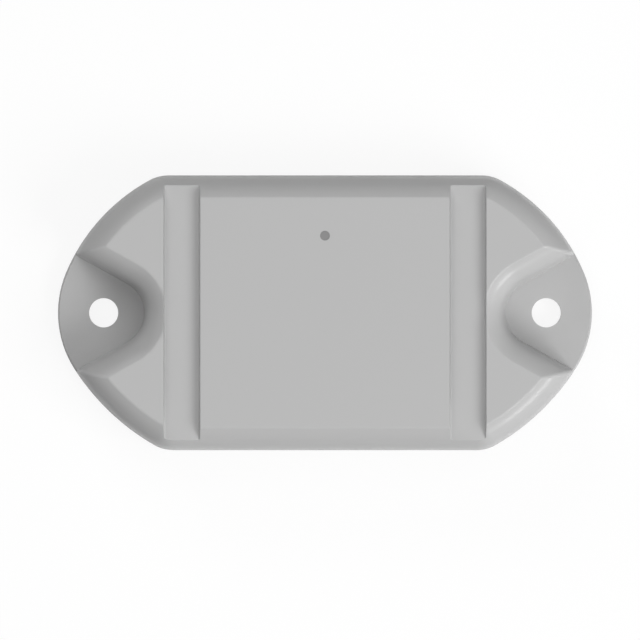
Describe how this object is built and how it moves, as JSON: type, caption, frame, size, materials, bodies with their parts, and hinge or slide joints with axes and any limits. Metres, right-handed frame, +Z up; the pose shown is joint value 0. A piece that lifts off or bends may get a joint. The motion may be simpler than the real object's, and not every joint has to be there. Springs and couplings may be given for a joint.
{
  "type": "bluetooth beacon tag",
  "caption": "Sealed oblong radio beacon tag with notched mounting ears, strap grooves over the top and a coin cell inside.",
  "frame": {"origin": "centre of the underside, on the surface that the tag is mounted on", "axes": "+Z up out of the flat top, +X along the length through both mounting holes, +Y towards the edge nearest the light"},
  "size_m": [0.082, 0.0422, 0.017],
  "materials": {
    "housing_plastic": "light grey, fine satin moulding",
    "light_pipe_plastic": "clear, looks grey over the dark inside",
    "seal_rubber": "black silicone",
    "foam": "black closed-cell foam",
    "screw_steel": "zinc-plated",
    "board_laminate": "green solder resist",
    "cell_steel": "nickel-plated steel can",
    "holder_plastic": "black moulding",
    "contact_metal": "gold-flashed spring bronze",
    "chip_plastic": "black epoxy",
    "crystal_metal": "nickel-plated lid",
    "antenna_body": "pale ceramic, plated ends",
    "capacitor_body": "tan ceramic, tinned ends",
    "resistor_body": "black film on ceramic, tinned ends",
    "storage_body": "ochre moulding",
    "led_body": "clear lens on a white base",
    "switch_body": "black moulding",
    "switch_dome": "polished spring steel",
    "switch_stem": "off-white moulding"
  },
  "bodies": {
    "housing": {"top_cover": "housing_plastic", "base_plate": "housing_plastic", "perimeter_seal": "seal_rubber", "light_pipe": "light_pipe_plastic", "cover_screws": "screw_steel", "circuit_board": "board_laminate", "board_screws": "screw_steel", "battery_cell": "cell_steel", "battery_holder": "holder_plastic", "battery_positive_contact": "contact_metal", "battery_negative_contact": "contact_metal", "battery_foam_pad": "foam", "radio_chip": "chip_plastic", "main_crystal": "crystal_metal", "slow_crystal": "crystal_metal", "chip_antenna": "antenna_body", "antenna_matching_parts": "capacitor_body", "decoupling_capacitors": "capacitor_body", "storage_capacitor": "storage_body", "resistors": "resistor_body", "status_led": "led_body", "accelerometer": "chip_plastic", "service_button_body": "switch_body", "service_button_dome": "switch_dome"},
    "service_button": {"service_button_plunger": "switch_stem"}
  },
  "joints": [
    {"name": "service_button_press", "type": "slide", "parent": "housing", "child": "service_button", "axis": [0, 0, 1], "range_m": [0, 0.00025], "stiffness_N_per_m": 6400}
  ]
}
